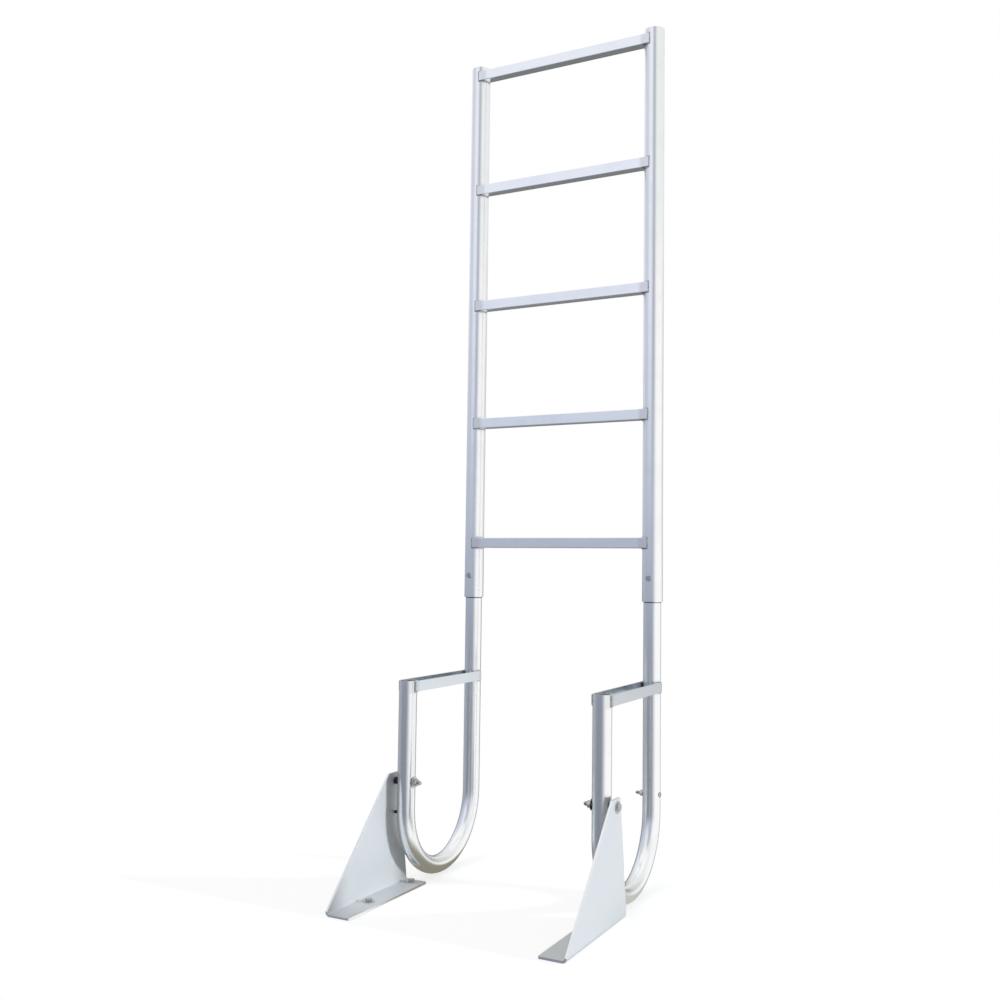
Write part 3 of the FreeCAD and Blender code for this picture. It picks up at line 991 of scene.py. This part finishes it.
class DOCKLADDER_OT_studio(bpy.types.Operator):
    """Set the floor, the reflecting flags, the light and the camera"""

    bl_idname = "dockladder.studio"
    bl_label = "Studio"

    def execute(self, context):
        self.floor()
        self.flags()
        self.world()
        self.lights()
        self.camera()
        return {"FINISHED"}

    @staticmethod
    def staged(name, bm, finish):
        made = linked(name, mesh_of(name, bm, finish))
        return made

    def floor(self):
        """Pale floor lifted to white, which keeps the shadow. It is as deep as a jetty, clear from
        below and partly clear from behind, so that the swung ladder shows before and under it."""
        finish, tree, shader = new_finish("Floor")
        for socket, value in (("Base Color", studio().floor), ("Emission Color", WHITE),
                              ("Roughness", 0.9), ("Specular IOR Level", 0.0)):
            wire(tree, shader.inputs[socket], value)
        lift = times(tree, seen_directly(tree), studio().floor_lift)
        wire(tree, shader.inputs["Emission Strength"], lift)
        face = geometry(tree)
        seen = add_node(tree, "ShaderNodeLightPath").outputs["Is Camera Ray"]
        slope = split(tree, face["Incoming"])["Y"]
        behind = times(tree, seen, ramp(tree, slope, *FLOOR_SLOPES, 0.0, FLOOR_CLEAR))
        share = calculate(tree, "MAXIMUM", face["Backfacing"], behind)
        let_through(tree, shader.outputs["BSDF"], share)
        left, right = MIDDLE_X - FLOOR_SIDE, MIDDLE_X + FLOOR_SIDE
        front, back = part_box("left_bracket")[0].y - FLOOR_FRONT, cad_box[1].y + FLOOR_BACK
        bm = bmesh.new()
        bm.faces.new([bm.verts.new((x, y, -FLOOR_DROP)) for x, y in (
            (left, front), (right, front), (right, back), (left, back))])
        self.staged("floor", bm, finish)

    def flag_finish(self, name, shade_start, shade_end):
        """Glow of a cloudy day by a reflection's direction: grey on the left, white elsewhere."""
        finish, tree, _ = new_finish(name)
        tree.nodes.clear()
        parts = split(tree, coordinates(tree))
        way = split(tree, mapped(tree, geometry(tree)["Incoming"], (-1, -1, -1)))
        compass = times(tree, calculate(tree, "ARCTAN2", way["Y"], way["X"]), math.degrees(1))
        # The direction runs from -90 to 270
        direction = minus(tree, math.degrees(studio().camera_azimuth), compass)
        direction = minus(tree, calculate(tree, "FLOORED_MODULO", direction, 360.0), 90.0)
        height = calculate(tree, "ABSOLUTE", parts["Z"])
        on_ground = ramp(tree, height, 0.0, 10 * MM, 1.0, 0.0)
        dips = 0.0
        for middle, half_width, fade, depth in DIPS:
            dip = times(tree, band(tree, direction, middle, half_width, fade), depth)
            dips = plus(tree, dips, dip)
        dips = times(tree, dips, ramp(tree, height, *DIPS_HEIGHT))
        grey = blended(tree, dips, gradient(tree, height, GREY_SIDE), BLACK)
        foot = times(tree, ramp(tree, direction, *FOOT_FROM),
                     ramp(tree, height, 0.0, FOOT_HEIGHT, FOOT_SHARE, 0.0))
        grey = blended(tree, foot, grey, WHITE)
        grey = blended(tree, ramp(tree, direction, *BEHIND_FROM), grey,
                       gradient(tree, height, BEHIND))
        past = minus(tree, direction, ramp(tree, height, *OVERHANG_HEIGHT, 0.0, OVERHANG))
        shade = times(tree, ramp(tree, direction, *shade_start),
                      ramp(tree, past, *shade_end, 1.0, 0.0))
        colour = blended(tree, shade, gradient(tree, height, WHITE_SIDE), grey)
        # The first two patches are painted shadow of the ladder on the ground under its bends, the
        # others darker ground
        for x, y, reach_x, reach_y, dark in PATCHES:
            across = calculate(tree, "DIVIDE", minus(tree, parts["X"], x), reach_x)
            along = calculate(tree, "DIVIDE", minus(tree, parts["Y"], y), reach_y)
            away = plus(tree, times(tree, across, across), times(tree, along, along))
            patch = times(tree, ramp(tree, away, *PATCH_FADE, 1.0, 0.0), on_ground)
            colour = blended(tree, patch, colour, dark)
        glow = add_node(tree, "ShaderNodeEmission", {"Color": colour, "Strength": even_light(tree)})
        add_node(tree, "ShaderNodeOutputMaterial")
        share = times(tree, geometry(tree)["Backfacing"], on_ground)
        let_through(tree, glow.outputs["Emission"], share)
        return finish

    def flags(self):
        """A round wall, alike above and below the ground, and a ground, seen by the metal only."""
        middle = Vector((MIDDLE_X, BEND_RADIUS, 0))
        wall = bmesh.new()
        low = wall.verts.new(middle + X * FLAG_REACH - Z * FLAG_HEIGHT)
        high = wall.verts.new(middle + X * FLAG_REACH + Z * FLAG_HEIGHT)
        wall.edges.new((low, high))
        bmesh.ops.spin(wall, geom=wall.verts[:] + wall.edges[:], cent=middle, axis=Z,
                       dvec=(0, 0, 0), angle=-FULL_TURN, steps=120)
        ground = bmesh.new()
        bmesh.ops.create_circle(ground, cap_ends=True, segments=96, radius=FLAG_REACH)
        bmesh.ops.translate(ground, verts=ground.verts, vec=middle - Z * FLAG_DROP)
        for name, bm, finish in (
                ("wall_flag", wall, self.flag_finish("Wall Flag", *WALL_SHADE)),
                ("ground_flag", ground, self.flag_finish("Ground Flag", *GROUND_SHADE))):
            flag = self.staged(name, bm, finish)
            flag.visible_camera = False
            flag.visible_diffuse = False
            flag.visible_shadow = False
            flag.visible_transmission = False

    def world(self):
        """White for what is seen straight or in the metal, and an even soft light otherwise."""
        world = bpy.data.worlds.new("Studio")
        bpy.context.scene.world = world
        world.use_nodes = True
        tree = world.node_tree
        back = tree.nodes["Background"].inputs
        wire(tree, back["Color"], WHITE)
        wire(tree, back["Strength"], even_light(tree))

    def lights(self):
        """A soft, slightly cool light from the right, and a weak one from the front."""
        for name, strength, colour, spread, height, azimuth in (
                ("Sun", studio().sun, (0.885, 0.945, 1.0), 8, studio().sun_height,
                 studio().sun_azimuth),
                ("Fill", studio().fill, WHITE, 45, studio().fill_height, studio().fill_azimuth)):
            lamp = bpy.data.lights.new(name, "SUN")
            lamp.energy = strength
            lamp.color = colour
            lamp.angle = math.radians(spread)
            light = linked(name, lamp)
            light.rotation_euler = (0, math.pi / 2 - height, azimuth)
            light.visible_glossy = False

    def camera(self):
        """Camera at the photograph's place and angle."""
        azimuth, pitch, roll = (
            studio().camera_azimuth, studio().camera_pitch, studio().camera_roll)
        level = Vector((math.cos(azimuth), math.sin(azimuth), 0))
        forward = Z.cross(level) * math.cos(pitch) + Z * math.sin(pitch)
        upward = level.cross(forward)
        right = level * math.cos(roll) + upward * math.sin(roll)
        above = -level * math.sin(roll) + upward * math.cos(roll)
        lens = bpy.data.cameras.new("Camera")
        lens.sensor_width = studio().camera_sensor
        lens.lens = studio().camera_lens
        camera = linked("Camera", lens)
        turn = Matrix((right, above, -forward)).transposed().to_4x4()
        camera.matrix_world = Matrix.Translation(studio().camera_place) @ turn
        bpy.context.scene.camera = camera
        bpy.context.scene.view_settings.view_transform = "Standard"


OPERATORS = (DOCKLADDER_OT_rails, DOCKLADDER_OT_plates, DOCKLADDER_OT_rung_welds,
             DOCKLADDER_OT_brace_welds, DOCKLADDER_OT_bolts, DOCKLADDER_OT_washers,
             DOCKLADDER_OT_deck_screws, DOCKLADDER_OT_finishes, DOCKLADDER_OT_studio)


class DOCKLADDER_PT_panel(bpy.types.Panel):
    """Sizes, colours and pieces of the dock ladder"""

    bl_idname = "DOCKLADDER_PT_panel"
    bl_label = "Dock Ladder"
    bl_space_type = "VIEW_3D"
    bl_region_type = "UI"
    bl_category = "Dock Ladder"

    def draw(self, context):
        for group in (context.scene.ladder_sizes, context.scene.ladder_colours,
                      context.scene.ladder_studio):
            box = self.layout.box()
            for name in group.__annotations__:
                box.prop(group, name)
        for operator in OPERATORS:
            self.layout.operator(operator.bl_idname)


CLASSES = (LadderSizes, LadderColours, LadderStudio, *OPERATORS, DOCKLADDER_PT_panel)


def register():
    for cls in CLASSES:
        bpy.utils.register_class(cls)
    bpy.types.Scene.ladder_sizes = PointerProperty(type=LadderSizes)
    bpy.types.Scene.ladder_colours = PointerProperty(type=LadderColours)
    bpy.types.Scene.ladder_studio = PointerProperty(type=LadderStudio)


def unregister():
    del bpy.types.Scene.ladder_studio
    del bpy.types.Scene.ladder_colours
    del bpy.types.Scene.ladder_sizes
    for cls in reversed(CLASSES):
        bpy.utils.unregister_class(cls)


def main():
    """Makes every piece in order."""
    register()
    bpy.ops.dockladder.rails()
    bpy.ops.dockladder.plates()
    bpy.ops.dockladder.rung_welds()
    bpy.ops.dockladder.brace_welds()
    bpy.ops.dockladder.bolts()
    bpy.ops.dockladder.washers()
    bpy.ops.dockladder.deck_screws()
    bpy.ops.dockladder.finishes()
    bpy.ops.dockladder.studio()


if __name__ == "__main__":
    main()
